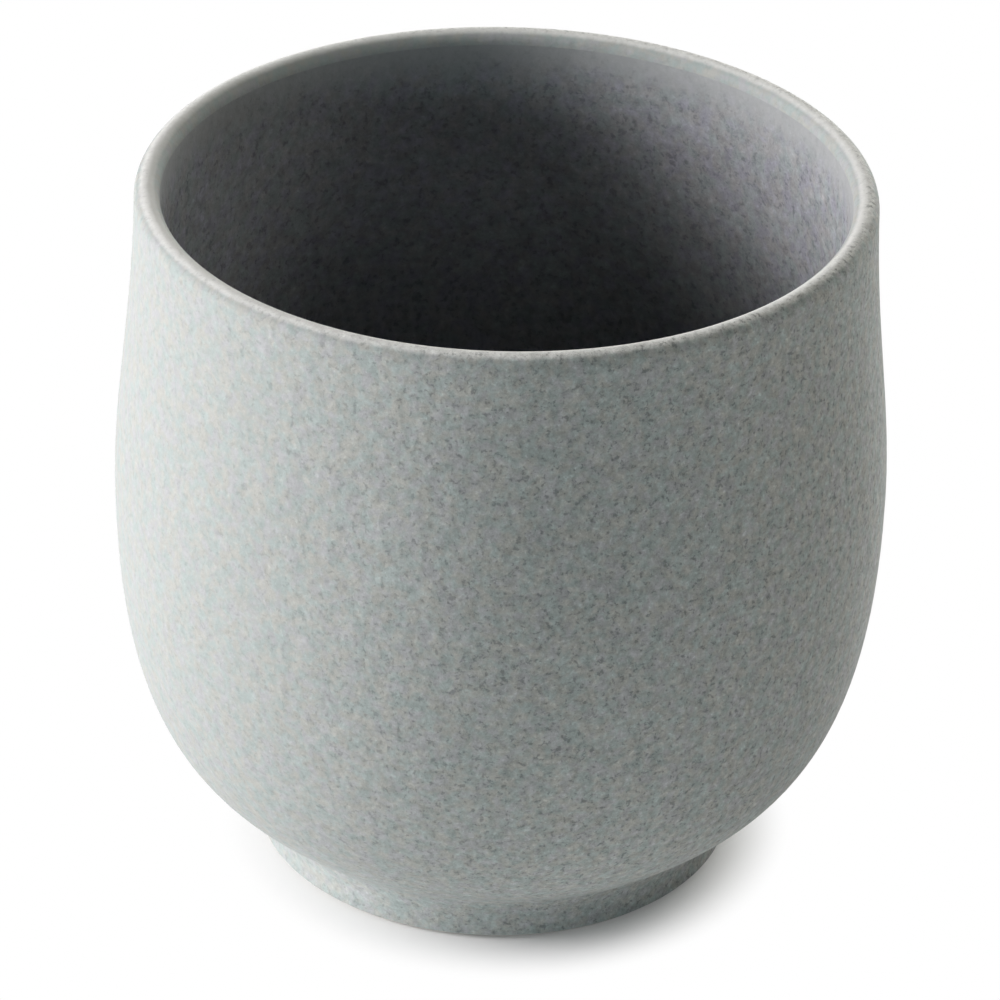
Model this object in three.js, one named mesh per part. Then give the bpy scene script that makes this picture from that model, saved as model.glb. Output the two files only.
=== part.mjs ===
// A round-bellied porcelain cup on a small foot, without a handle.
// Millimetres, +Z up, with the origin at the centre of the ring that it stands on.
// Every piece is turned about the Z axis from a profile of (radius, height) points.

import * as THREE from 'three';

// The outside of the finished cup, glaze included
const CUP_HEIGHT = 75.3; // table to the top of the lip
const BELLY_DIAMETER = 80; // the widest circle
const BELLY_HEIGHT = 41; // from the table up to the widest circle
const RIM_DIAMETER = 74.9; // just below the lip
const RIM_LEAN = 1.7; // degrees that the wall leans inwards at the rim
const LIP_THICKNESS = 2.6; // across the rounded lip
const LIP_ROUNDING = 1.4; // height of the rounded lip
const FOOT_DIAMETER = 50.6; // across the upright side of the foot
const FOOT_HEIGHT = 5; // from the table up to the joint between the foot and the bowl
const FOOT_SIDE = 1.25; // height of the foot's upright side
const FOOT_SWEEP = 6.5; // radius of the hollow curve from the foot into the bowl
const HEEL_ANGLE = 40.4; // degrees above level where the bowl leaves the foot

// The inside of the finished cup and the hollow under it
const WALL_THICKNESS = 3; // at the belly
const FLOOR_THICKNESS = 4.6; // at the centre
const STANDING_WIDTH = 4.6; // of the foot ring at the table
const RECESS_DRAFT = 1.4; // how much the hollow under the cup narrows upwards
const RECESS_FILLET = 1.6; // radius where the hollow's side meets its roof

// The porcelain that stays bare and the layers on it
const FOOT_EDGE = 0.4; // radius of the standing ring's two edges
const BARE_EDGE = 0.5; // height above the table where the glaze stops
const GLAZE = 0.3; // thickness of each coat
const SLIP = 0.4; // thickness of the layer that holds the foot ring on
const BOND_CLEARANCE = 0.02; // between a coat and the clay that it lies on

// How long each end of a curve keeps its direction, as a share of the curve's height or width
const HEEL_FULLNESS = 0.206;
const LOWER_BELLY_FULLNESS = 0.744;
const UPPER_BELLY_FULLNESS = 0.316;
const RIM_FULLNESS = 0.435;
const INSIDE_FULLNESS = 0.8;

// Facets around the axis, and along each stretch of a profile
const TURN_STEPS = 48;
const EDGE_STEPS = 2;
const SWEEP_STEPS = 6;
const LOWER_STEPS = 9;
const UPPER_STEPS = 5;
const LIP_STEPS = 8;
const FILLET_STEPS = 3;

const COAT = GLAZE + BOND_CLEARANCE; // from the finished surface down to the clay
const UPRIGHT = Math.PI / 2;
const heelAngle = THREE.MathUtils.degToRad(HEEL_ANGLE);
const rimLean = THREE.MathUtils.degToRad(RIM_LEAN);

const point = (radius, height) => new THREE.Vector2(radius, height);

// Points where the finished surface changes from one stretch to the next
const footRadius = FOOT_DIAMETER / 2;
const sweepCentre = point(footRadius + FOOT_SWEEP, FOOT_SIDE);
const heel = point(
  sweepCentre.x - FOOT_SWEEP * Math.sin(heelAngle),
  sweepCentre.y + FOOT_SWEEP * Math.cos(heelAngle),
);
const belly = point(BELLY_DIAMETER / 2, BELLY_HEIGHT);
const rim = point(RIM_DIAMETER / 2, CUP_HEIGHT - LIP_ROUNDING);
const innerRim = point(rim.x - LIP_THICKNESS, rim.y - BOND_CLEARANCE);
const innerBelly = point(belly.x - WALL_THICKNESS, belly.y);
const recessRoof = FOOT_HEIGHT - GLAZE;
const floorCentre = point(0, recessRoof + FLOOR_THICKNESS);

// A stretch of the finished surface and the number of facets along it
const stretch = (curve, steps) => ({ curve, steps });

const footSide = stretch(
  new THREE.LineCurve(point(footRadius, BARE_EDGE), point(footRadius, FOOT_SIDE)),
  1,
);
const footSweep = stretch(
  new THREE.EllipseCurve(
    sweepCentre.x,
    sweepCentre.y,
    FOOT_SWEEP,
    FOOT_SWEEP,
    Math.PI,
    UPRIGHT + heelAngle,
    true,
  ),
  SWEEP_STEPS,
);

const lowerRise = belly.y - heel.y;
const heelReach = point(Math.cos(heelAngle), Math.sin(heelAngle)).multiplyScalar(HEEL_FULLNESS * lowerRise);
const lowerBowl = stretch(
  new THREE.CubicBezierCurve(
    heel,
    heel.clone().add(heelReach),
    point(belly.x, belly.y - LOWER_BELLY_FULLNESS * lowerRise),
    belly,
  ),
  LOWER_STEPS,
);

// The outside and the inside rise from the belly to the rim alike, apart from their lean there
function upperWall(bottom, top, lean) {
  const rise = top.y - bottom.y;
  const rimReach = point(Math.sin(lean), -Math.cos(lean)).multiplyScalar(RIM_FULLNESS * rise);
  const bellyReach = point(0, UPPER_BELLY_FULLNESS * rise);
  return [bottom, bottom.clone().add(bellyReach), top.clone().add(rimReach), top];
}

const upperBowl = stretch(new THREE.CubicBezierCurve(...upperWall(belly, rim, rimLean)), UPPER_STEPS);
const lip = stretch(
  new THREE.EllipseCurve(
    (rim.x + innerRim.x) / 2,
    rim.y,
    LIP_THICKNESS / 2,
    LIP_ROUNDING,
    0,
    Math.PI,
  ),
  LIP_STEPS,
);

const upperInside = stretch(
  new THREE.CubicBezierCurve(...upperWall(innerBelly, innerRim, 0).reverse()),
  UPPER_STEPS,
);
const lowerInside = stretch(
  new THREE.CubicBezierCurve(
    innerBelly,
    point(innerBelly.x, innerBelly.y - INSIDE_FULLNESS * (innerBelly.y - floorCentre.y)),
    point(INSIDE_FULLNESS * innerBelly.x, floorCentre.y),
    floorCentre,
  ),
  LOWER_STEPS,
);

const outside = [footSweep, lowerBowl, upperBowl, lip];
const inside = [upperInside, lowerInside];

// Points along stretches that follow each other, moved by depth from the finished surface into the clay
function surface(stretches, depth) {
  const points = [];
  for (const { curve, steps } of stretches) {
    const first = points.length === 0 ? 0 : 1;
    for (let step = first; step <= steps; step += 1) {
      const along = curve.getTangent(step / steps);
      const outwards = point(along.y, -along.x);
      points.push(curve.getPoint(step / steps).addScaledVector(outwards, -depth));
    }
  }
  return points;
}

// Points on a circle of a profile, from one angle to another
function arc(centre, radius, from, to, steps) {
  const curve = new THREE.EllipseCurve(centre.x, centre.y, radius, radius, from, to, to < from);
  return curve.getPoints(steps);
}

// Parts a rising profile at a height, with the point at that height in both parts
function parted(points, height) {
  const next = points.findIndex((each) => each.y > height);
  const [under, over] = [points[next - 1], points[next]];
  const cut = under.clone().lerp(over, (height - under.y) / (over.y - under.y));
  return { below: [...points.slice(0, next), cut], above: [cut, ...points.slice(next)] };
}

// The clay under the outer glaze, parted into the foot ring, the slip on it and the bowl
const { below: footClay, above: bowlClay } = parted(surface(outside, COAT), FOOT_HEIGHT);
const { below: ringClay, above: slipClay } = parted(footClay, FOOT_HEIGHT - SLIP);

// A point on the side of the hollow under the cup, which narrows evenly up to the joint
function recessSide(height) {
  return point(footRadius - STANDING_WIDTH - RECESS_DRAFT * (height / FOOT_HEIGHT), height);
}

// The two faces of a coat: the finished surface, and the way back along the clay
function coat(stretches) {
  return { front: surface(stretches, 0), back: surface(stretches, GLAZE).reverse() };
}

function closed(profile) {
  return [...profile, profile[0].clone()];
}

function turned(name, profile, material) {
  const geometry = new THREE.LatheGeometry(profile, TURN_STEPS);
  geometry.rotateX(UPRIGHT);
  const mesh = new THREE.Mesh(geometry, material);
  mesh.name = name;
  return mesh;
}

// The bowl: floor, wall and lip, formed in one
function cupBody() {
  const profile = [point(0, FOOT_HEIGHT), ...bowlClay, ...surface(inside, COAT)];
  return turned('cup_body', profile, porcelain);
}

// The ring that carries the bowl, with a flat to stand on between two soft edges
function footRing() {
  const innerEdge = point(recessSide(FOOT_EDGE).x + FOOT_EDGE, FOOT_EDGE);
  const outerEdge = point(footRadius - COAT - FOOT_EDGE, FOOT_EDGE);
  const profile = [
    ...arc(innerEdge, FOOT_EDGE, Math.PI, Math.PI + UPRIGHT, EDGE_STEPS),
    ...arc(outerEdge, FOOT_EDGE, -UPRIGHT, 0, EDGE_STEPS),
    ...ringClay,
    recessSide(FOOT_HEIGHT - SLIP),
  ];
  return turned('foot_ring', closed(profile), porcelain);
}

// The slip that was brushed between the foot ring and the bowl before firing
function lutingSlip() {
  const profile = [recessSide(FOOT_HEIGHT - SLIP), ...slipClay, recessSide(FOOT_HEIGHT)];
  return turned('luting_slip', closed(profile), slip);
}

// The matt speckled coat from just above the table, up the outside and over the lip
function outerGlaze() {
  const { front, back } = coat([footSide, ...outside]);
  return turned('outer_glaze', closed([...front, ...back]), mattGlaze);
}

// The coat that lines the cup, from the lip's inner edge down to the floor
function innerGlaze() {
  const { front, back } = coat(inside);
  return turned('inner_glaze', [...back, ...front], liningGlaze);
}

// The coat in the hollow under the cup, thicker in the corner where it ran together
function baseGlaze() {
  const clearance = point(-BOND_CLEARANCE, 0);
  const glazeAndFillet = point(-GLAZE - RECESS_FILLET, 0);
  const filletCentre = recessSide(recessRoof - RECESS_FILLET).add(clearance).add(glazeAndFillet);
  const wallTop = recessSide(FOOT_HEIGHT).add(clearance);
  const wallEnd = recessSide(BARE_EDGE).add(clearance);
  const profile = [
    point(0, recessRoof),
    ...arc(filletCentre, RECESS_FILLET, UPRIGHT, 0, FILLET_STEPS),
    point(wallEnd.x - GLAZE, wallEnd.y),
    wallEnd,
    wallTop,
    point(0, FOOT_HEIGHT),
  ];
  return turned('base_glaze', profile, mattGlaze);
}

const porcelain = new THREE.MeshStandardMaterial({ color: 0xd3d2cc, roughness: 0.85, metalness: 0 });
const slip = new THREE.MeshStandardMaterial({ color: 0xc9c5bb, roughness: 0.9, metalness: 0 });
const mattGlaze = new THREE.MeshStandardMaterial({ color: 0xb4b8b5, roughness: 0.7, metalness: 0 });
const liningGlaze = new THREE.MeshStandardMaterial({ color: 0xa6a7ab, roughness: 0.5, metalness: 0 });

const cup = new THREE.Group();
cup.name = 'porcelain_cup';
cup.add(cupBody(), footRing(), lutingSlip(), outerGlaze(), innerGlaze(), baseGlaze());

export default cup;
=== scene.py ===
"""A matt speckled porcelain cup on a low foot, and the bright studio that it stands in.

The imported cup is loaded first, as a fixed frame. Each of its pieces is then turned again from a finer
profile, in the same place, and gets its finish. Lengths are in metres, +Z is up, and the origin is
the centre of the ring that the cup stands on.
"""

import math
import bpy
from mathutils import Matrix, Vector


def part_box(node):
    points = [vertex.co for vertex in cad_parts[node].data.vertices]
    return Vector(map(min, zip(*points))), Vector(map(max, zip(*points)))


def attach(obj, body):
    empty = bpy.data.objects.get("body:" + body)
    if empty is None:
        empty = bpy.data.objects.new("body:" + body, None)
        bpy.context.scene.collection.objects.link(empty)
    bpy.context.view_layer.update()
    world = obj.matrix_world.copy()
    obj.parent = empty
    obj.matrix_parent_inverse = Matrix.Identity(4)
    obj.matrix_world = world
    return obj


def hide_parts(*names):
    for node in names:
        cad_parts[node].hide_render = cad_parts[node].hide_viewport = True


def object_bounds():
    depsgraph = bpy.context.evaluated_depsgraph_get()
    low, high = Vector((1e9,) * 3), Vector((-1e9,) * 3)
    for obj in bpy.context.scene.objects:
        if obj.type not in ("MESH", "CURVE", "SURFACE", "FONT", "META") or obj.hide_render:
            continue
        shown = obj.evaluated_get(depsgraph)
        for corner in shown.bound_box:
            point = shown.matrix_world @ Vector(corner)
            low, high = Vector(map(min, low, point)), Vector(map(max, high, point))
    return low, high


bl_info = {
    "name": "Porcelain cup",
    "version": (1, 0, 0),
    "blender": (4, 5, 0),
    "location": "3D View > Sidebar > Cup",
    "description": "Turns a speckled porcelain cup, coats it with glaze and sets it in a studio",
    "category": "Add Mesh",
}

from typing import NamedTuple

import bmesh
import bpy
from bpy.props import FloatProperty, FloatVectorProperty, IntProperty, PointerProperty
from mathutils import Matrix, Vector
from mathutils.geometry import interpolate_bezier

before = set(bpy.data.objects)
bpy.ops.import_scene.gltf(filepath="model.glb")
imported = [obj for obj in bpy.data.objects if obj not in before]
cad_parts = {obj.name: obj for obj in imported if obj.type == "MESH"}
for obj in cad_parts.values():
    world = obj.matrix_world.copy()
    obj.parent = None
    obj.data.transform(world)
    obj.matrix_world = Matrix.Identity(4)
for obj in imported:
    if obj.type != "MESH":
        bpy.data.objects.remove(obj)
CAD_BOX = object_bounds()

MM = 0.001
AXIS = Vector((0, 0, 1))
UPRIGHT = math.pi / 2
WHITE = (1, 1, 1)
BODY = "root"

# Steps along the runs of the profile
SWEEP_STEPS = 12
LOWER_STEPS = 28
UPPER_STEPS = 20
LIP_STEPS = 16
INSIDE_STEPS = 32
FILLET_STEPS = 8
EDGE_STEPS = 6

# Closer than this, two points of a profile or two vertices of a mesh are one
SAME_POINT = 1e-9
SAME_VERTEX = 1e-7

# Lower than this a vertex lies on the table, and past this many radians an edge there is a corner
ON_TABLE = 1e-6
CORNER_ANGLE = 1.0

# Below this angle, two faces are shaded as one surface
SMOOTH_ANGLE = math.radians(35)

# The outer glaze at the lip, from one depth under its top to another: where it runs thin and loses its
# specks, and where its top is painted pale as a painted highlight
LIP_THIN_AND_HIGHLIGHT_DEPTHS = (0.42 * MM, 0.03 * MM)
LIP_CALM_AND_HIGHLIGHT_DEPTHS = (2.6 * MM, 1.5 * MM)

# How far in from the lip's outer side the specks have faded and are still full, in shares of its thickness
LIP_CALM_SHARES = (0.7, 0.3)

# The lining under the lip in the same way: paler near the rim, partly glaze that runs thin and partly painted
# light where the lamps reach into the cup
LINING_THIN_AND_PAINTED_LIGHT_DEPTHS = (6 * MM, 1.4 * MM)
LINING_CALM_DEPTHS = (7 * MM, 1.4 * MM)

# Painted shade: the lining darkens from the first height down to the second, to a share of its colour, as the
# deep of the cup lies in shade
LINING_PAINTED_SHADE_HEIGHTS = (62 * MM, 31 * MM)
LINING_PAINTED_SHADE_SHARE = 0.52

# How far above its edge the glaze in the hollow under the cup runs thin and loses its specks
BASE_THIN_BAND = 0.6 * MM
BASE_CALM_BAND = 1.2 * MM

# How the grain changes a glaze: levels of the drifts where its hues begin and end, and strengths
WARM_LEVELS = (0.36, 0.64)
VIOLET_LEVELS = (0.45, 0.68)
MOTTLE_SWING = 1.1
GLINT_LIFT = 0.2
FLECK_STRENGTH = 0.42
GLOSS_SWING = 0.24
GLAZE_RELIEF = 0.16 * MM

# The share of the grain that a calm place loses, and the stretch along X over which the grain gets stronger:
# painted light, the grain faded on the side the lamps light most, as bright light washes it out
CALM_LOSS = 0.8
LIT_SIDE_FADE_STRETCH = (-34 * MM, 10 * MM)

# The bare porcelain, and how deep its turning lines are beside its grain
BARE_GRAIN_PER_MM = 1.4
BARE_ROUGHNESS = 0.8
BARE_SWING = 0.3
BARE_RELIEF = 0.02 * MM
LINE_RELIEF = 0.8

# The floor is white from the outer radius on, and nearly all paper within the inner one
FADE_MIDDLE = (1.4 * MM, -1.9 * MM, 0)
FADE_RADII = (22.6 * MM, 30.8 * MM)
FADE_LEAST = 0.1
CARD_HEIGHT = 0.5 * MM


class Pattern(NamedTuple):
    """A noise in space: its waves per unit of length, its finer layers and how strong they are."""

    scale: float
    detail: float
    roughness: float


# Patterns of the grain, with the size of one grain as the unit
STRAY = Pattern(1.5, 1.0, 0.5)
CROWDING = Pattern(0.45, 1.0, 0.5)
DABS = Pattern(1.7, 2.5, 0.66)
MOTTLE = Pattern(1.1, 3.5, 0.85)
HUES = Pattern(0.7, 2.0, 0.6)
UNEVENNESS = Pattern(0.45, 4.0, 0.52)

# Patterns with a metre as the unit
RIPPLE = Pattern(900, 3.0, 0.6)
TURNING_LINES = Pattern(2500, 2.0, 0.6)

# How far the grain strays, how much the dabs crowd, and the levels where flecks and glints begin and are full
STRAY_REACH = (0.3, 0.3, 0.3)
CROWDING_SHARE = 0.08
FLECK_LEVELS = (0.46, 0.31)
GLINT_LEVELS = (0.58, 0.74)
FLECK_PIT = 0.04
GLINT_RISE = 0.03

# Round spots among the flecks: cells per grain, range of radii, width of the edge and least strength
SPOT_SCALE = 1.1
SPOT_RADII = (-0.2, 0.24)
SPOT_SOFTNESS = 0.12
SPOT_LEAST = 0.4

# How far a thin edge wanders, as a share of its band, and the middle of a noise
RIPPLE_REACH = 0.35
NOISE_MIDDLE = 0.5


def length(name, description, default):
    """A property for a length in metres."""
    return FloatProperty(
        name=name,
        description=description,
        default=default,
        min=0,
        precision=5,
        unit="LENGTH",
        subtype="DISTANCE",
    )


def angle(name, description, degrees):
    """A property for an angle, given in degrees."""
    return FloatProperty(
        name=name, description=description, default=math.radians(degrees), unit="ROTATION", subtype="ANGLE"
    )


def share(name, description, default):
    """A property for a share between nothing and all."""
    return FloatProperty(
        name=name, description=description, default=default, min=0, max=1, subtype="FACTOR"
    )


def colour(name, description, default):
    """A property for a colour as light: red, green and blue from 0 to 1."""
    return FloatVectorProperty(
        name=name, description=description, default=default, size=3, min=0, max=1, subtype="COLOR"
    )


class CupShape(bpy.types.PropertyGroup):
    """The sizes of the finished cup and of the layers that it is made of"""

    cup_height: length("Cup height", "Table to the top of the lip", CAD_BOX[1].z)
    belly_diameter: length("Belly diameter", "Across the widest circle", CAD_BOX[1].x - CAD_BOX[0].x)
    belly_height: length("Belly height", "Table to the widest circle", 41 * MM)
    rim_diameter: length("Rim diameter", "Across the wall just below the lip", 74.9 * MM)
    rim_lean: angle("Rim lean", "How far the wall leans inwards at the rim", 1.7)
    lip_thickness: length("Lip thickness", "Across the rounded lip", 2.6 * MM)
    lip_rounding: length("Lip rounding", "Height of the rounded lip", 1.4 * MM)
    foot_diameter: length("Foot diameter", "Across the upright side of the foot", 50.6 * MM)
    foot_height: length("Foot height", "Table to the joint with the bowl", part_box("cup_body")[0].z)
    foot_side: length("Foot side", "Height of the foot's upright side", 1.25 * MM)
    foot_sweep: length("Foot sweep", "Radius of the hollow curve from the foot into the bowl", 6.5 * MM)
    heel_angle: angle("Heel angle", "Slope of the bowl where it leaves the foot", 40.4)
    wall_thickness: length("Wall thickness", "At the belly", 3 * MM)
    floor_thickness: length("Floor thickness", "At the centre", 4.6 * MM)
    standing_width: length("Standing width", "Width of the foot ring at the table", 4.6 * MM)
    recess_draft: length("Recess draft", "How much the hollow under the cup narrows upwards", 1.4 * MM)
    recess_fillet: length("Recess fillet", "Radius where the hollow's side meets its roof", 1.6 * MM)
    foot_edge: length("Foot edge", "Radius of the standing ring's edges", 0.4 * MM)
    bare_edge: length("Bare edge", "Height where the glaze stops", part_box("outer_glaze")[0].z)
    glaze: length("Glaze", "Thickness of each coat", 0.3 * MM)
    slip: length("Slip", "Thickness of the layer that holds the foot ring on", 0.4 * MM)
    clearance: length("Clearance", "Between a coat and the clay that it lies on", 0.02 * MM)
    heel_fullness: share("Heel fullness", "How far the heel keeps its slope", 0.206)
    lower_fullness: share("Lower fullness", "How far the belly stays upright downwards", 0.744)
    upper_fullness: share("Upper fullness", "How far the belly stays upright upwards", 0.316)
    rim_fullness: share("Rim fullness", "How far the rim keeps its lean", 0.435)
    inside_fullness: share("Inside fullness", "How round the inside is between wall and floor", 0.8)
    turn_steps: IntProperty(name="Turn steps", description="Facets around the cup", default=160, min=12)


class CupFinish(bpy.types.PropertyGroup):
    """The colours of the glazes and of the porcelain that stays bare"""

    outside_teal: colour(
        "Outside, teal", "The speckled glaze where it drifts to blue-green", (0.431, 0.487, 0.478)
    )
    outside_warm: colour(
        "Outside, warm", "The speckled glaze where it drifts to a warm grey", (0.482, 0.488, 0.462)
    )
    outside_violet: colour(
        "Outside, violet", "The speckled glaze where it drifts to violet", (0.469, 0.480, 0.492)
    )
    outside_fleck: colour("Outside flecks", "The dark specks in the glaze", (0.150, 0.160, 0.165))
    # Pale over an edge: glaze that runs thin, and on the lip's top also a painted highlight
    outside_thin_and_highlight: colour("Thin glaze", "The glaze where it runs thin over an edge", (0.830, 0.842, 0.825))
    lining_teal: colour(
        "Lining, teal", "The glaze inside where it drifts to blue-green", (0.374, 0.412, 0.423)
    )
    lining_warm: colour(
        "Lining, warm", "The glaze inside where it drifts to a warm grey", (0.402, 0.404, 0.413)
    )
    lining_violet: colour(
        "Lining, violet", "The glaze inside where it drifts to violet", (0.393, 0.398, 0.452)
    )
    lining_fleck: colour("Lining flecks", "The dark specks in the glaze inside", (0.140, 0.150, 0.160))
    # Paler near the rim inside: partly glaze that runs thin, partly painted light where the lamps shine in
    lining_thin_and_painted_light: colour(
        "Thin lining", "The glaze inside where it runs thin at the rim", (0.428, 0.441, 0.448)
    )
    bare_clay: colour("Bare porcelain", "The porcelain that no glaze covers", (0.660, 0.650, 0.610))
    bare_worn: colour("Worn porcelain", "The standing ring where it has rubbed", (0.520, 0.505, 0.470))
    slip_clay: colour("Slip", "The slip between the foot and the bowl", (0.580, 0.560, 0.510))


class Studio(bpy.types.PropertyGroup):
    """The floor, the light around the cup and the camera"""

    floor_width: length("Floor width", "Across the sheet that the cup stands on", 3.0)
    floor_paper: colour("Floor", "The sheet that the cup stands on", (0.92, 0.92, 0.92))
    dim_room: colour("Room", "The light that the room gives from all around", (0.0, 0.0, 0.0))
    lamp_distance: length("Lamp distance", "From each lamp to the point that it faces", 1.2)
    lens: FloatProperty(
        name="Lens", description="Focal length in millimetres", default=172.76, min=1, unit="CAMERA"
    )
    camera_distance: length("Camera distance", "From the camera to the point that it looks at", 0.5009)
    camera_rise: angle("Camera rise", "How far above level the camera stands", 30.461)
    camera_roll: angle("Camera roll", "How far the camera is turned about its own line of sight", 1.286)
    look_height: length("Look height", "Height of the point that the camera and the lamps face", 38.0 * MM)


class Lamp(NamedTuple):
    """A soft panel that faces the middle of the cup. Azimuth runs from +X to +Y, in degrees."""

    azimuth: float
    elevation: float
    width: float
    height: float
    power: float
    tint: tuple


LAMPS = {
    "key_upper": Lamp(180, 29, width=0.42, height=0.42, power=6.0, tint=(1.0, 0.975, 0.96)),
    "key_side": Lamp(180, 14, width=0.42, height=0.42, power=11.5, tint=(1.0, 0.962, 0.97)),
    "key_front": Lamp(246, 6, width=0.42, height=0.2, power=2.4, tint=(0.86, 0.97, 0.985)),
    "right_fill": Lamp(20, 48, width=0.42, height=0.42, power=3.65, tint=(1.0, 0.975, 0.89)),
    "backdrop_light": Lamp(64, 9, width=0.84, height=0.42, power=8.0, tint=(1.0, 0.99, 0.965)),
}


class Card(NamedTuple):
    """A square card that lies on the floor and glows upwards, as one that throws light back."""

    azimuth: float
    distance: float
    side: float
    power: float


CARDS = {
    "right_card": Card(8, distance=0.115, side=0.12, power=0.012),
    "left_card": Card(207, distance=0.115, side=0.12, power=0.014),
    "heel_card": Card(225, distance=0.037, side=0.02, power=0.00043),
    "front_heel_card": Card(246, distance=0.037, side=0.02, power=0.00026),
}


def at(radius, height):
    """A point of a profile, which lies in the plane of X and Z."""
    return Vector((radius, 0, height))


def arc(centre, across, up, start, end, steps):
    """Points along an ellipse about a centre, between two angles."""
    turns = [start + (end - start) * step / steps for step in range(steps + 1)]
    return [centre + at(across * math.cos(turn), up * math.sin(turn)) for turn in turns]


def bezier(start, start_handle, end_handle, end, steps):
    """Points along a curve between two points."""
    return interpolate_bezier(start, start_handle, end_handle, end, steps + 1)


def joined(*runs):
    """Runs of points one after another, without the points that two runs share."""
    points = list(runs[0])
    for run in runs[1:]:
        points += run[1:] if (run[0] - points[-1]).length < SAME_POINT else run
    return points


def sunk(points, depth):
    """A run of points, moved by depth from the finished surface into the clay."""
    moved = []
    for number, point in enumerate(points):
        along = points[min(number + 1, len(points) - 1)] - points[max(number - 1, 0)]
        moved.append(point - depth * at(along.z, -along.x).normalized())
    return moved


def parted(points, height):
    """The parts of a rising run below and above a height, with the point at that height in both."""
    over = next(number for number, point in enumerate(points) if point.z > height)
    low, high = points[over - 1], points[over]
    cut = low.lerp(high, (height - low.z) / (high.z - low.z))
    return points[:over] + [cut], [cut] + points[over:]


class Profile:
    """The finished surface of the cup as runs of points, and what the layers under it need of them."""

    def __init__(self, shape):
        self.shape = shape
        self.foot_radius = shape.foot_diameter / 2
        self.coat_depth = shape.glaze + shape.clearance
        self.recess_roof = shape.foot_height - shape.glaze
        self.outside_foot = self.foot_run()
        self.outside = joined(self.outside_foot[-1:], self.sweep_run(), self.bowl_run(), self.lip_run())
        self.inside = self.inside_run()

    def foot_run(self):
        """The upright side of the foot, above its bare edge."""
        return [at(self.foot_radius, self.shape.bare_edge), at(self.foot_radius, self.shape.foot_side)]

    def sweep_run(self):
        """The hollow curve from the foot into the bowl."""
        radius = self.shape.foot_sweep
        centre = at(self.foot_radius + radius, self.shape.foot_side)
        return arc(centre, radius, radius, math.pi, UPRIGHT + self.shape.heel_angle, SWEEP_STEPS)

    def bowl_run(self):
        """The outside of the bowl, from the heel over the belly to the rim."""
        shape = self.shape
        heel = self.sweep_run()[-1]
        belly = at(shape.belly_diameter / 2, shape.belly_height)
        rise = belly.z - heel.z
        slope = at(math.cos(shape.heel_angle), math.sin(shape.heel_angle))
        lower = bezier(
            heel,
            heel + shape.heel_fullness * rise * slope,
            belly - shape.lower_fullness * rise * AXIS,
            belly,
            LOWER_STEPS,
        )
        rim = at(shape.rim_diameter / 2, shape.cup_height - shape.lip_rounding)
        return joined(lower, self.wall_run(belly, rim, shape.rim_lean))

    def wall_run(self, belly, rim, lean):
        """The upper wall, from a point of the belly to a point of the rim."""
        rise = rim.z - belly.z
        down = at(math.sin(lean), -math.cos(lean))
        return bezier(
            belly,
            belly + self.shape.upper_fullness * rise * AXIS,
            rim + self.shape.rim_fullness * rise * down,
            rim,
            UPPER_STEPS,
        )

    def lip_run(self):
        """The rounded lip, from the outside over to the inside."""
        shape = self.shape
        half = shape.lip_thickness / 2
        centre = at(shape.rim_diameter / 2 - half, shape.cup_height - shape.lip_rounding)
        return arc(centre, half, shape.lip_rounding, 0, math.pi, LIP_STEPS)

    def inside_run(self):
        """The inside, from the lip's inner edge down to the middle of the floor."""
        shape = self.shape
        rim = self.lip_run()[-1]
        belly = at(shape.belly_diameter / 2 - shape.wall_thickness, shape.belly_height)
        floor = at(0, self.recess_roof + shape.floor_thickness)
        lower = bezier(
            belly,
            belly - shape.inside_fullness * (belly.z - floor.z) * AXIS,
            at(shape.inside_fullness * belly.x, floor.z),
            floor,
            INSIDE_STEPS,
        )
        return joined(self.wall_run(belly, rim, 0)[::-1], lower)

    def clay(self):
        """The clay under the outer glaze: the sides of the foot ring, of the slip on it and of the bowl."""
        foot, bowl = parted(sunk(self.outside, self.coat_depth), self.shape.foot_height)
        ring, slip = parted(foot, self.shape.foot_height - self.shape.slip)
        return ring, slip, bowl

    def recess_side(self, height):
        """The point at a height on the side of the hollow under the cup."""
        shape = self.shape
        drawn_in = shape.recess_draft * height / shape.foot_height
        return at(self.foot_radius - shape.standing_width - drawn_in, height)


def turn(profile, steps, closed=False):
    """A bmesh turned about the cup's axis from a profile, merged and facing outwards."""
    bm = bmesh.new()
    verts = [bm.verts.new(point) for point in profile]
    edges = [bm.edges.new(pair) for pair in zip(verts, verts[1:])]
    if closed:
        edges.append(bm.edges.new((verts[-1], verts[0])))
    bmesh.ops.spin(
        bm, geom=verts + edges, cent=(0, 0, 0), axis=AXIS, angle=math.tau, steps=steps, use_merge=True
    )
    bmesh.ops.remove_doubles(bm, verts=bm.verts, dist=SAME_VERTEX)
    bmesh.ops.recalc_face_normals(bm, faces=bm.faces)
    return bm


def finish_piece(bm, name, material, node):
    """Makes a bmesh an object of the cup that stands for a node of the frame."""
    for face in bm.faces:
        face.smooth = True
    for edge in bm.edges:
        edge.smooth = edge.calc_face_angle(0) < SMOOTH_ANGLE
    mesh = bpy.data.meshes.new(name)
    bm.to_mesh(mesh)
    bm.free()
    mesh.materials.append(material)
    piece = bpy.data.objects.new(name, mesh)
    bpy.context.scene.collection.objects.link(piece)
    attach(piece, BODY)
    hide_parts(node)


def fill_socket(tree, socket, value):
    """Gives a socket a value, or links it to another node's output."""
    if isinstance(value, bpy.types.NodeSocket):
        tree.links.new(value, socket)
    else:
        socket.default_value = value


def add_node(tree, kind, inputs, **settings):
    """Adds a node with its settings, and fills its inputs with values or with other nodes' outputs."""
    made = tree.nodes.new(kind)
    for name, value in settings.items():
        setattr(made, name, value)
    for name, value in inputs.items():
        fill_socket(tree, made.inputs[name], value)
    return made


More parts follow.
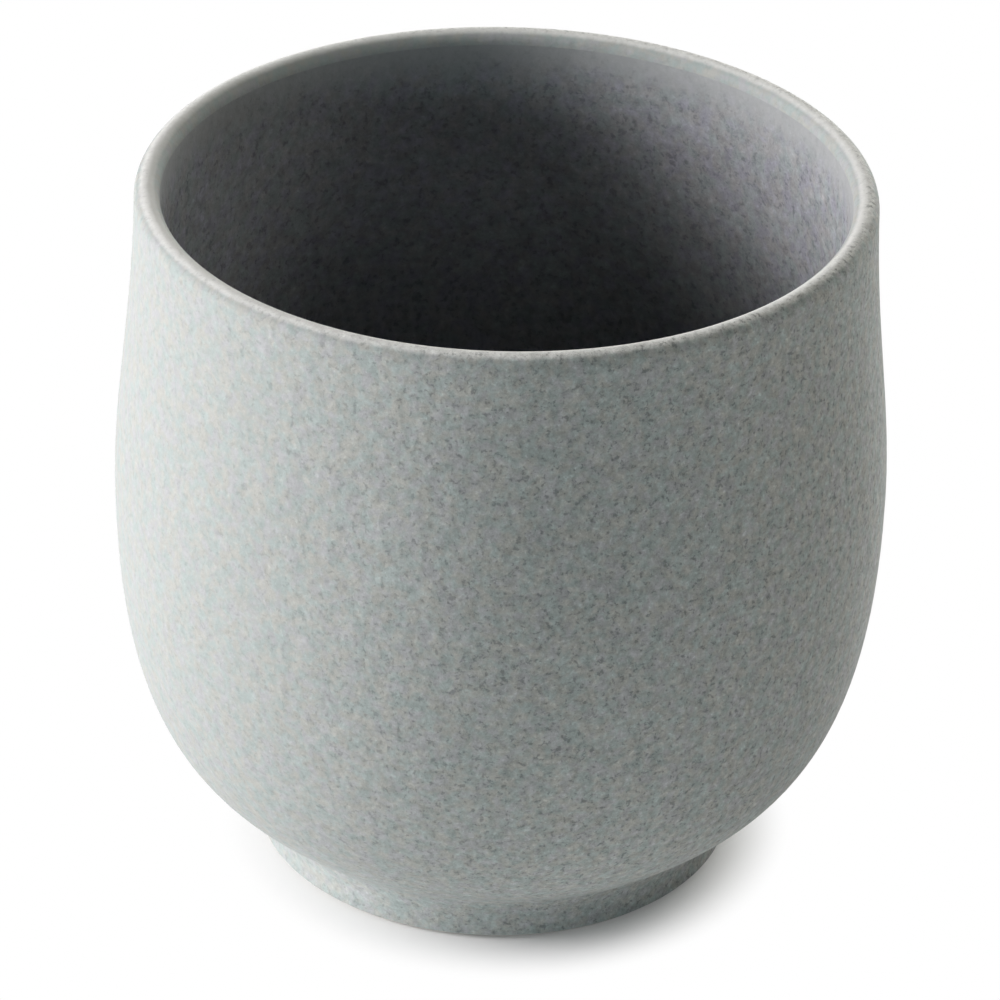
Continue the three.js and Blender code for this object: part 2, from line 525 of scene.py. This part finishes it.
def maths(tree, operation, *values, clamp=False):
    """The output of a Math node on values or on other nodes' outputs."""
    inputs = dict(enumerate(values))
    return add_node(tree, "ShaderNodeMath", inputs, operation=operation, use_clamp=clamp).outputs[0]


def scaled(tree, vector, factor):
    """A vector or a colour times a factor."""
    inputs = {0: vector, "Scale": factor}
    return add_node(tree, "ShaderNodeVectorMath", inputs, operation="SCALE").outputs[0]


def noise(tree, position, pattern):
    """The outputs of a noise texture in space."""
    inputs = {
        "Vector": position,
        "Scale": pattern.scale,
        "Detail": pattern.detail,
        "Roughness": pattern.roughness,
    }
    return add_node(tree, "ShaderNodeTexNoise", inputs).outputs


def blend(tree, factor, first, second):
    """The colour of a Mix node, given the output of a factor and two colours or outputs of colours."""
    made = tree.nodes.new("ShaderNodeMix")
    made.data_type = "RGBA"
    sockets = {socket.identifier: socket for socket in made.inputs}
    fill_socket(tree, sockets["Factor_Float"], factor)
    for name, value in {"A_Color": first, "B_Color": second}.items():
        known = isinstance(value, bpy.types.NodeSocket)
        fill_socket(tree, sockets[name], value if known else (*value, 1))
    return next(socket for socket in made.outputs if socket.identifier == "Result_Color")


def ramp(tree, value, start, end, least=0.0, most=1.0):
    """A soft step, from 0 to 1 if no others are given, as a value goes from one level to another."""
    inputs = {"Value": value, "From Min": start, "From Max": end, "To Min": least, "To Max": most}
    return add_node(tree, "ShaderNodeMapRange", inputs, interpolation_type="SMOOTHSTEP").outputs[0]


def distance_from_axis(tree, position):
    """How far a point lies from the cup's axis."""
    inputs = {0: position, 1: (1, 1, 0)}
    level = add_node(tree, "ShaderNodeVectorMath", inputs, operation="MULTIPLY").outputs[0]
    return add_node(tree, "ShaderNodeVectorMath", {0: level}, operation="LENGTH").outputs["Value"]


def round_spots(tree, position):
    """A mask of round spots: each cell of a Voronoi pattern holds one, of its own size, or none."""
    cells = add_node(tree, "ShaderNodeTexVoronoi", {"Vector": position, "Scale": SPOT_SCALE}).outputs
    chance = add_node(tree, "ShaderNodeSeparateColor", {"Color": cells["Color"]}).outputs
    sizes = {"Value": chance[0], "To Min": SPOT_RADII[0], "To Max": SPOT_RADII[1]}
    radius = add_node(tree, "ShaderNodeMapRange", sizes).outputs[0]
    within = maths(tree, "SUBTRACT", radius, cells["Distance"])
    mask = maths(tree, "DIVIDE", within, SPOT_SOFTNESS, clamp=True)
    strength = maths(tree, "MULTIPLY_ADD", chance[1], 1 - SPOT_LEAST, SPOT_LEAST)
    return maths(tree, "MULTIPLY", mask, strength)


def new_group(name, numbers, outputs):
    """A node group that takes a position and numbers: its tree, what enters it and what leaves it."""
    tree = bpy.data.node_groups.new(name, "ShaderNodeTree")
    tree.interface.new_socket("Position", in_out="INPUT", socket_type="NodeSocketVector")
    for number in numbers:
        tree.interface.new_socket(number, in_out="INPUT", socket_type="NodeSocketFloat")
    for output in outputs:
        tree.interface.new_socket(output, in_out="OUTPUT", socket_type="NodeSocketFloat")
    enter = tree.nodes.new("NodeGroupInput").outputs
    leave = tree.nodes.new("NodeGroupOutput").inputs
    return tree, enter, leave


def grain_group():
    """The grain of the fired glazes: specks, mottling and drifts of colour, and the relief they leave."""
    name = "Fired grain"
    if name in bpy.data.node_groups:
        return bpy.data.node_groups[name]
    outputs = ("Flecks", "Glints", "Mottle", "Drift", "Blush", "Relief")
    tree, enter, leave = new_group(name, ["Grain per mm"], outputs)

    per_metre = maths(tree, "DIVIDE", enter["Grain per mm"], MM)
    position = scaled(tree, enter["Position"], per_metre)
    stray = {0: noise(tree, position, STRAY)["Color"], 1: STRAY_REACH, 2: position}
    bent = add_node(tree, "ShaderNodeVectorMath", stray, operation="MULTIPLY_ADD").outputs[0]

    crowding = noise(tree, position, CROWDING)["Fac"]
    dabs = maths(tree, "SUBTRACT", noise(tree, bent, DABS)["Fac"], CROWDING_SHARE / 2)
    level = maths(tree, "MULTIPLY_ADD", crowding, CROWDING_SHARE, dabs)
    flecks = maths(tree, "MAXIMUM", ramp(tree, level, *FLECK_LEVELS), round_spots(tree, bent))
    glints = ramp(tree, level, *GLINT_LEVELS)
    hues = noise(tree, bent, HUES)["Color"]
    drift, blush, _ = add_node(tree, "ShaderNodeSeparateColor", {"Color": hues}).outputs
    pitted = maths(tree, "MULTIPLY_ADD", flecks, -FLECK_PIT, noise(tree, position, UNEVENNESS)["Fac"])
    relief = maths(tree, "MULTIPLY_ADD", glints, GLINT_RISE, pitted)

    results = (flecks, glints, noise(tree, bent, MOTTLE)["Fac"], drift, blush, relief)
    for output, result in zip(outputs, results):
        tree.links.new(result, leave[output])
    return tree


def edge_group():
    """A mask that rises between two heights, along an uneven line: for a pale edge of glaze (glaze that runs
    thin, at the lip and under the rim also painted light), for fading specks and for worn porcelain.
    """
    name = "Thin edge"
    if name in bpy.data.node_groups:
        return bpy.data.node_groups[name]
    tree, enter, leave = new_group(name, ["None at", "Full at"], ["Mask"])

    none_at, full_at = enter["None at"], enter["Full at"]
    height = add_node(tree, "ShaderNodeSeparateXYZ", {0: enter["Position"]}).outputs["Z"]
    ripple = maths(tree, "SUBTRACT", noise(tree, enter["Position"], RIPPLE)["Fac"], NOISE_MIDDLE)
    reach = maths(tree, "MULTIPLY", maths(tree, "SUBTRACT", full_at, none_at), RIPPLE_REACH)
    uneven = maths(tree, "MULTIPLY_ADD", ripple, reach, height)
    tree.links.new(ramp(tree, uneven, none_at, full_at), leave["Mask"])
    return tree


def place_group(tree, group, inputs):
    """Places a node group in a material, with its own values."""
    return add_node(tree, "ShaderNodeGroup", inputs, node_tree=group).outputs


def fired_grain(tree, position, grain_per_mm):
    """The masks of the fired grain in a material."""
    return place_group(tree, grain_group(), {"Position": position, "Grain per mm": grain_per_mm})


def thin_edge(tree, position, none_at, full_at):
    """The mask of a thin edge in a material, from the height where it is 0 to the one where it is 1."""
    inputs = {"Position": position, "None at": none_at, "Full at": full_at}
    return place_group(tree, edge_group(), inputs)["Mask"]


def new_material(name, roughness):
    """A plain material: its tree, its shader and the position on the piece."""
    material = bpy.data.materials.new(name)
    material.use_nodes = True
    tree = material.node_tree
    shader = tree.nodes["Principled BSDF"]
    shader.inputs["Roughness"].default_value = roughness
    position = tree.nodes.new("ShaderNodeTexCoord").outputs["Object"]
    return material, tree, shader, position


def add_relief(tree, shader, heights, depth):
    """Gives a shader the relief of a pattern of heights."""
    inputs = {"Strength": 1.0, "Distance": depth, "Height": heights}
    bump = add_node(tree, "ShaderNodeBump", inputs)
    tree.links.new(bump.outputs[0], shader.inputs["Normal"])


class Glaze(NamedTuple):
    """A speckled glaze: its colours, the heights where it changes, and its grain.

    It is pale from the first to the second of its thin heights: glaze that runs thin, and at the lip's top
    and under the rim inside also painted light. Its specks fade from the first to the second of its calm
    heights.
    With calm radii they fade only where the radius is small: fully at the first radius, and not at all from
    the second one on. The two grain sides are the strength of the grain at the start and at the end of the
    stretch along X, which weakens the grain on the lit side as painted light.
    """

    teal: tuple
    warm: tuple
    violet: tuple
    fleck: tuple
    thin: tuple
    thin_and_painted_light_heights: tuple
    calm_heights: tuple
    grain_per_mm: float
    grain_sides: tuple
    roughness: float
    sheen: float
    calm_radii: tuple = ()


def speckled_glaze(name, glaze):
    """A glaze that is pale over an edge, partly as painted light, with specks that fade towards it and, as
    painted light, towards the lit side.
    """
    material, tree, shader, position = new_material(name, glaze.roughness)
    shader.inputs["Specular IOR Level"].default_value = glaze.sheen
    grain = fired_grain(tree, position, glaze.grain_per_mm)
    thin_and_painted_light = thin_edge(tree, position, *glaze.thin_and_painted_light_heights)
    calm = thin_edge(tree, position, *glaze.calm_heights)
    if glaze.calm_radii:
        outward = ramp(tree, distance_from_axis(tree, position), *glaze.calm_radii)
        calm = maths(tree, "MULTIPLY", calm, maths(tree, "SUBTRACT", 1.0, outward))

    ground = blend(tree, ramp(tree, grain["Drift"], *WARM_LEVELS), glaze.teal, glaze.warm)
    ground = blend(tree, ramp(tree, grain["Blush"], *VIOLET_LEVELS), ground, glaze.violet)
    ground = blend(tree, thin_and_painted_light, ground, glaze.thin)
    across = add_node(tree, "ShaderNodeSeparateXYZ", {0: position}).outputs["X"]
    # Painted light: the grain is weaker on the side that the key lamps light
    lit_side_fade = ramp(tree, across, *LIT_SIDE_FADE_STRETCH, *glaze.grain_sides)
    kept = maths(tree, "MULTIPLY", maths(tree, "MULTIPLY_ADD", calm, -CALM_LOSS, 1.0), lit_side_fade)
    cloud = maths(tree, "MULTIPLY_ADD", grain["Mottle"], MOTTLE_SWING, -MOTTLE_SWING / 2)
    lifted = maths(tree, "MULTIPLY_ADD", grain["Glints"], GLINT_LIFT, cloud)
    toned = scaled(tree, ground, maths(tree, "MULTIPLY_ADD", lifted, kept, 1.0))
    flecks = maths(tree, "MULTIPLY", grain["Flecks"], kept)
    dark = maths(tree, "MULTIPLY", flecks, FLECK_STRENGTH, clamp=True)
    tree.links.new(blend(tree, dark, toned, glaze.fleck), shader.inputs["Base Color"])

    smoothest = glaze.roughness - GLOSS_SWING / 2
    gloss = maths(tree, "MULTIPLY_ADD", grain["Mottle"], GLOSS_SWING, smoothest)
    tree.links.new(gloss, shader.inputs["Roughness"])
    add_relief(tree, shader, grain["Relief"], GLAZE_RELIEF)
    return material


def painted_shade_below(material, top, bottom, least):
    """Paints shade into a glaze: darker from one height down to another, as the deep of the cup lies in
    shade.
    """
    tree = material.node_tree
    ground = tree.nodes["Principled BSDF"].inputs["Base Color"]
    position = tree.nodes.new("ShaderNodeTexCoord").outputs["Object"]
    height = add_node(tree, "ShaderNodeSeparateXYZ", {0: position}).outputs["Z"]
    kept = ramp(tree, height, bottom, top, least=least)
    tree.links.new(scaled(tree, ground.links[0].from_socket, kept), ground)


def outside_glaze(finish, thin_and_painted_light_heights, calm_heights, calm_radii=()):
    """The matt glaze of the outside and of the hollow under the cup."""
    return Glaze(
        teal=finish.outside_teal,
        warm=finish.outside_warm,
        violet=finish.outside_violet,
        fleck=finish.outside_fleck,
        thin=finish.outside_thin_and_highlight,
        thin_and_painted_light_heights=thin_and_painted_light_heights,
        calm_heights=calm_heights,
        grain_per_mm=1.0,
        # Weaker grain on the lit -X side, as painted light
        grain_sides=(0.4, 1.4),
        roughness=0.6,
        sheen=0.08,
        calm_radii=calm_radii,
    )


def lining_glaze(finish, thin_and_painted_light_heights, calm_heights):
    """The glaze of the inside, with a coarser and softer grain."""
    return Glaze(
        teal=finish.lining_teal,
        warm=finish.lining_warm,
        violet=finish.lining_violet,
        fleck=finish.lining_fleck,
        thin=finish.lining_thin_and_painted_light,
        thin_and_painted_light_heights=thin_and_painted_light_heights,
        calm_heights=calm_heights,
        grain_per_mm=0.68,
        grain_sides=(1.15, 1.15),
        roughness=0.55,
        sheen=0.015,
    )


def bare_porcelain(name, clay, worn, worn_height):
    """Unglazed porcelain with fine pores and faint turning lines, rubbed darker where it stands."""
    material, tree, shader, position = new_material(name, BARE_ROUGHNESS)
    grain = fired_grain(tree, position, BARE_GRAIN_PER_MM)
    standing = thin_edge(tree, position, worn_height, 0.0)
    ring = add_node(tree, "ShaderNodeCombineXYZ", {"X": distance_from_axis(tree, position)}).outputs[0]
    lines = noise(tree, ring, TURNING_LINES)["Fac"]

    ground = blend(tree, maths(tree, "MULTIPLY", standing, lines), clay, worn)
    swing = maths(tree, "MULTIPLY_ADD", grain["Mottle"], BARE_SWING, 1 - BARE_SWING / 2)
    tree.links.new(scaled(tree, ground, swing), shader.inputs["Base Color"])
    gloss = maths(tree, "MULTIPLY_ADD", grain["Mottle"], BARE_SWING, BARE_ROUGHNESS - BARE_SWING / 2)
    tree.links.new(gloss, shader.inputs["Roughness"])
    heights = maths(tree, "MULTIPLY_ADD", lines, LINE_RELIEF, grain["Relief"])
    add_relief(tree, shader, heights, BARE_RELIEF)
    return material


def porcelain_material(context):
    """The bare porcelain of the bowl and of the foot ring, made once."""
    finish, shape = context.scene.cup_finish, context.scene.cup_shape
    name = "Bare porcelain"
    if name in bpy.data.materials:
        return bpy.data.materials[name]
    return bare_porcelain(name, finish.bare_clay, finish.bare_worn, shape.bare_edge)


class CUP_OT_turn_bowl(bpy.types.Operator):
    """Turns the bowl: its floor, wall and lip, in one"""

    bl_idname = "cup.turn_bowl"
    bl_label = "Turn the bowl"
    bl_options = {"REGISTER", "UNDO"}

    def execute(self, context):
        shape = context.scene.cup_shape
        profile = Profile(shape)
        _, _, bowl_side = profile.clay()
        run = joined([at(0, shape.foot_height)], bowl_side, sunk(profile.inside, profile.coat_depth))
        run[-1].x = 0
        bm = turn(run, shape.turn_steps)
        finish_piece(bm, "bowl", porcelain_material(context), "cup_body")
        return {"FINISHED"}


class CUP_OT_turn_foot(bpy.types.Operator):
    """Turns the foot ring, with a flat to stand on between two soft edges"""

    bl_idname = "cup.turn_foot"
    bl_label = "Turn the foot ring"
    bl_options = {"REGISTER", "UNDO"}

    def execute(self, context):
        shape = context.scene.cup_shape
        profile = Profile(shape)
        ring_side, _, _ = profile.clay()
        top = profile.recess_side(shape.foot_height - shape.slip)
        inner = profile.recess_side(0)
        outer = at(profile.foot_radius - profile.coat_depth, 0)
        bm = turn([inner, outer, *ring_side, top], shape.turn_steps, closed=True)
        corners = [edge for edge in bm.edges if self.is_corner(edge)]
        bmesh.ops.bevel(
            bm,
            geom=corners,
            offset=shape.foot_edge,
            segments=EDGE_STEPS,
            profile=0.5,
            affect="EDGES",
            material=-1,
        )
        finish_piece(bm, "foot", porcelain_material(context), "foot_ring")
        return {"FINISHED"}

    def is_corner(self, edge):
        """Tells whether an edge runs around the flat that the cup stands on."""
        on_table = all(vert.co.z < ON_TABLE for vert in edge.verts)
        return on_table and edge.calc_face_angle(0) > CORNER_ANGLE


class CUP_OT_lay_slip(bpy.types.Operator):
    """Lays the slip that holds the foot ring on the bowl"""

    bl_idname = "cup.lay_slip"
    bl_label = "Lay the slip"
    bl_options = {"REGISTER", "UNDO"}

    def execute(self, context):
        shape = context.scene.cup_shape
        finish = context.scene.cup_finish
        profile = Profile(shape)
        _, slip_side, _ = profile.clay()
        ends = [profile.recess_side(shape.foot_height), profile.recess_side(shape.foot_height - shape.slip)]
        bm = turn([*slip_side, *ends], shape.turn_steps, closed=True)
        material = bare_porcelain("Slip", finish.slip_clay, finish.slip_clay, shape.bare_edge)
        finish_piece(bm, "slip_layer", material, "luting_slip")
        return {"FINISHED"}


class CUP_OT_coat_outside(bpy.types.Operator):
    """Coats the outside with the speckled glaze, from above the table up and over the lip"""

    bl_idname = "cup.coat_outside"
    bl_label = "Coat the outside"
    bl_options = {"REGISTER", "UNDO"}

    def execute(self, context):
        shape = context.scene.cup_shape
        finish = context.scene.cup_finish
        profile = Profile(shape)
        front = joined(profile.outside_foot, profile.outside)
        bm = turn(front + sunk(front, shape.glaze)[::-1], shape.turn_steps, closed=True)
        # The lip's top is painted pale: partly glaze that runs thin, partly a painted highlight
        thin_and_painted_light_heights = [shape.cup_height - depth for depth in LIP_THIN_AND_HIGHLIGHT_DEPTHS]
        calm_heights = [shape.cup_height - depth for depth in LIP_CALM_AND_HIGHLIGHT_DEPTHS]
        calm_radii = [shape.rim_diameter / 2 - part * shape.lip_thickness for part in LIP_CALM_SHARES]
        glaze = outside_glaze(finish, thin_and_painted_light_heights, calm_heights, calm_radii)
        material = speckled_glaze("Outer glaze", glaze)
        finish_piece(bm, "outside_coat", material, "outer_glaze")
        return {"FINISHED"}


class CUP_OT_line_inside(bpy.types.Operator):
    """Lines the inside with its own glaze, from the lip's inner edge to the floor"""

    bl_idname = "cup.line_inside"
    bl_label = "Line the inside"
    bl_options = {"REGISTER", "UNDO"}

    def execute(self, context):
        shape = context.scene.cup_shape
        finish = context.scene.cup_finish
        profile = Profile(shape)
        back = sunk(profile.inside, shape.glaze)
        back[-1].x = 0
        bm = turn(back[::-1] + profile.inside, shape.turn_steps)
        # The band under the rim is painted paler, partly as light that falls into the cup
        thin_and_painted_light_heights = [shape.cup_height - depth for depth in LINING_THIN_AND_PAINTED_LIGHT_DEPTHS]
        calm_heights = [shape.cup_height - depth for depth in LINING_CALM_DEPTHS]
        material = speckled_glaze("Lining glaze", lining_glaze(finish, thin_and_painted_light_heights, calm_heights))
        # Painted shade deep in the cup
        painted_shade_below(material, *LINING_PAINTED_SHADE_HEIGHTS, LINING_PAINTED_SHADE_SHARE)
        finish_piece(bm, "lining_coat", material, "inner_glaze")
        return {"FINISHED"}


class CUP_OT_coat_base(bpy.types.Operator):
    """Coats the hollow under the cup, thicker in the corner where the glaze ran together"""

    bl_idname = "cup.coat_base"
    bl_label = "Coat the base"
    bl_options = {"REGISTER", "UNDO"}

    def execute(self, context):
        shape = context.scene.cup_shape
        finish = context.scene.cup_finish
        profile = Profile(shape)
        roof = profile.recess_roof
        edge = shape.bare_edge
        rounding = shape.recess_fillet
        back = at(-shape.clearance, 0)
        front = at(-shape.clearance - shape.glaze, 0)
        corner = profile.recess_side(roof - rounding) + front - at(rounding, 0)
        run = [
            at(0, roof),
            *arc(corner, rounding, rounding, UPRIGHT, 0, FILLET_STEPS),
            profile.recess_side(edge) + front,
            profile.recess_side(edge) + back,
            profile.recess_side(shape.foot_height) + back,
            at(0, shape.foot_height),
        ]
        bm = turn(run, shape.turn_steps)
        glaze = outside_glaze(finish, (edge + BASE_THIN_BAND, edge), (edge + BASE_CALM_BAND, edge))
        material = speckled_glaze("Base glaze", glaze)
        finish_piece(bm, "base_coat", material, "base_glaze")
        return {"FINISHED"}


def seen_directly(tree):
    """1 for what the camera sees, straight, in a reflection or through glass, and 0 for light on its way."""
    path = tree.nodes.new("ShaderNodeLightPath").outputs
    mirrored = maths(tree, "MAXIMUM", path["Is Camera Ray"], path["Is Glossy Ray"])
    return maths(tree, "MAXIMUM", mirrored, path["Is Transmission Ray"])


def level_way(azimuth):
    """The level direction at an azimuth."""
    return Vector((math.cos(azimuth), math.sin(azimuth), 0))


class CUP_OT_set_studio(bpy.types.Operator):
    """Lays the floor, hangs the lamps and sets the camera"""

    bl_idname = "cup.set_studio"
    bl_label = "Set the studio"
    bl_options = {"REGISTER", "UNDO"}

    def execute(self, context):
        scene = context.scene
        studio = scene.cup_studio
        self.lay_floor(scene, studio)
        self.light_room(scene, studio)
        for name, lamp in LAMPS.items():
            self.hang_lamp(scene, studio, name, lamp)
        for name, card in CARDS.items():
            self.lay_card(scene, name, card)
        self.set_camera(scene, studio)
        scene.view_settings.view_transform = "Standard"
        return {"FINISHED"}

    def lay_floor(self, scene, studio):
        """Lays a sheet that keeps the cup's shadow and fades to white around it."""
        bm = bmesh.new()
        bmesh.ops.create_grid(bm, x_segments=1, y_segments=1, size=studio.floor_width / 2)
        mesh = bpy.data.meshes.new("floor")
        bm.to_mesh(mesh)
        bm.free()
        mesh.materials.append(self.white_sheet(studio))
        floor = bpy.data.objects.new("floor", mesh)
        scene.collection.objects.link(floor)

    def white_sheet(self, studio):
        """The material of the sheet: paper near the cup, and plain white away from it."""
        material, tree, shader, position = new_material("White sheet", 1.0)
        shader.inputs["Base Color"].default_value = (*studio.floor_paper, 1)
        shader.inputs["Specular IOR Level"].default_value = 0.0
        inputs = {0: position, 1: FADE_MIDDLE}
        away = add_node(tree, "ShaderNodeVectorMath", inputs, operation="DISTANCE").outputs["Value"]
        faded = maths(tree, "MULTIPLY", ramp(tree, away, *FADE_RADII, least=FADE_LEAST), seen_directly(tree))
        white = add_node(tree, "ShaderNodeEmission", {"Color": (*WHITE, 1), "Strength": 1.0})
        sheet = add_node(tree, "ShaderNodeMixShader", {0: faded, 1: shader.outputs[0], 2: white.outputs[0]})
        tree.links.new(sheet.outputs[0], tree.nodes["Material Output"].inputs["Surface"])
        return material

    def light_room(self, scene, studio):
        """Makes the room white where it is seen, and as dim as it is set in the light that it gives."""
        world = bpy.data.worlds.new("Studio room")
        scene.world = world
        world.use_nodes = True
        tree = world.node_tree
        background = tree.nodes["Background"]
        background.inputs["Strength"].default_value = 1.0
        shown = blend(tree, seen_directly(tree), studio.dim_room, WHITE)
        tree.links.new(shown, background.inputs["Color"])

    def hang_lamp(self, scene, studio, name, lamp):
        """Hangs a panel that faces the cup."""
        data = bpy.data.lights.new(name, "AREA")
        data.shape = "RECTANGLE"
        data.size = lamp.width
        data.size_y = lamp.height
        data.energy = lamp.power
        data.color = lamp.tint
        elevation = math.radians(lamp.elevation)
        level = level_way(math.radians(lamp.azimuth))
        way = level * math.cos(elevation) + AXIS * math.sin(elevation)
        panel = bpy.data.objects.new(name, data)
        panel.location = studio.look_height * AXIS + studio.lamp_distance * way
        panel.rotation_euler = (-way).to_track_quat("-Z", "Y").to_euler()
        scene.collection.objects.link(panel)

    def lay_card(self, scene, name, card):
        """Lays a card on the floor, face up and unseen by the camera."""
        data = bpy.data.lights.new(name, "AREA")
        data.shape = "SQUARE"
        data.size = card.side
        data.energy = card.power
        azimuth = math.radians(card.azimuth)
        panel = bpy.data.objects.new(name, data)
        panel.location = card.distance * level_way(azimuth) + CARD_HEIGHT * AXIS
        panel.rotation_euler = (math.pi, 0, azimuth)
        panel.visible_camera = False
        scene.collection.objects.link(panel)

    def set_camera(self, scene, studio):
        """Sets the camera in front of the cup and above it."""
        data = bpy.data.cameras.new("camera")
        data.lens = studio.lens
        camera = bpy.data.objects.new("camera", data)
        rise = studio.camera_rise
        way = Vector((0, -math.cos(rise), math.sin(rise)))
        turned = (-way).to_track_quat("-Z", "Y").to_matrix().to_4x4()
        rolled = Matrix.Rotation(studio.camera_roll, 4, "Z")
        place = Matrix.Translation(studio.look_height * AXIS + studio.camera_distance * way)
        camera.matrix_world = place @ turned @ rolled
        scene.collection.objects.link(camera)
        scene.camera = camera


class CUP_PT_steps(bpy.types.Panel):
    """The steps that make the cup, in order"""

    bl_idname = "CUP_PT_steps"
    bl_label = "Porcelain cup"
    bl_space_type = "VIEW_3D"
    bl_region_type = "UI"
    bl_category = "Cup"

    def draw(self, context):
        for step in STEPS:
            self.layout.operator(step.bl_idname)


STEPS = (
    CUP_OT_set_studio,
    CUP_OT_turn_bowl,
    CUP_OT_turn_foot,
    CUP_OT_lay_slip,
    CUP_OT_coat_outside,
    CUP_OT_line_inside,
    CUP_OT_coat_base,
)
SETTINGS = {"cup_shape": CupShape, "cup_finish": CupFinish, "cup_studio": Studio}


def register():
    for settings in SETTINGS.values():
        bpy.utils.register_class(settings)
    for name, settings in SETTINGS.items():
        setattr(bpy.types.Scene, name, PointerProperty(type=settings))
    for step in STEPS:
        bpy.utils.register_class(step)
    bpy.utils.register_class(CUP_PT_steps)


def unregister():
    bpy.utils.unregister_class(CUP_PT_steps)
    for step in reversed(STEPS):
        bpy.utils.unregister_class(step)
    for name in SETTINGS:
        delattr(bpy.types.Scene, name)
    for settings in SETTINGS.values():
        bpy.utils.unregister_class(settings)


def main():
    register()
    bpy.ops.cup.set_studio()
    bpy.ops.cup.turn_bowl()
    bpy.ops.cup.turn_foot()
    bpy.ops.cup.lay_slip()
    bpy.ops.cup.coat_outside()
    bpy.ops.cup.line_inside()
    bpy.ops.cup.coat_base()


if __name__ == "__main__":
    main()
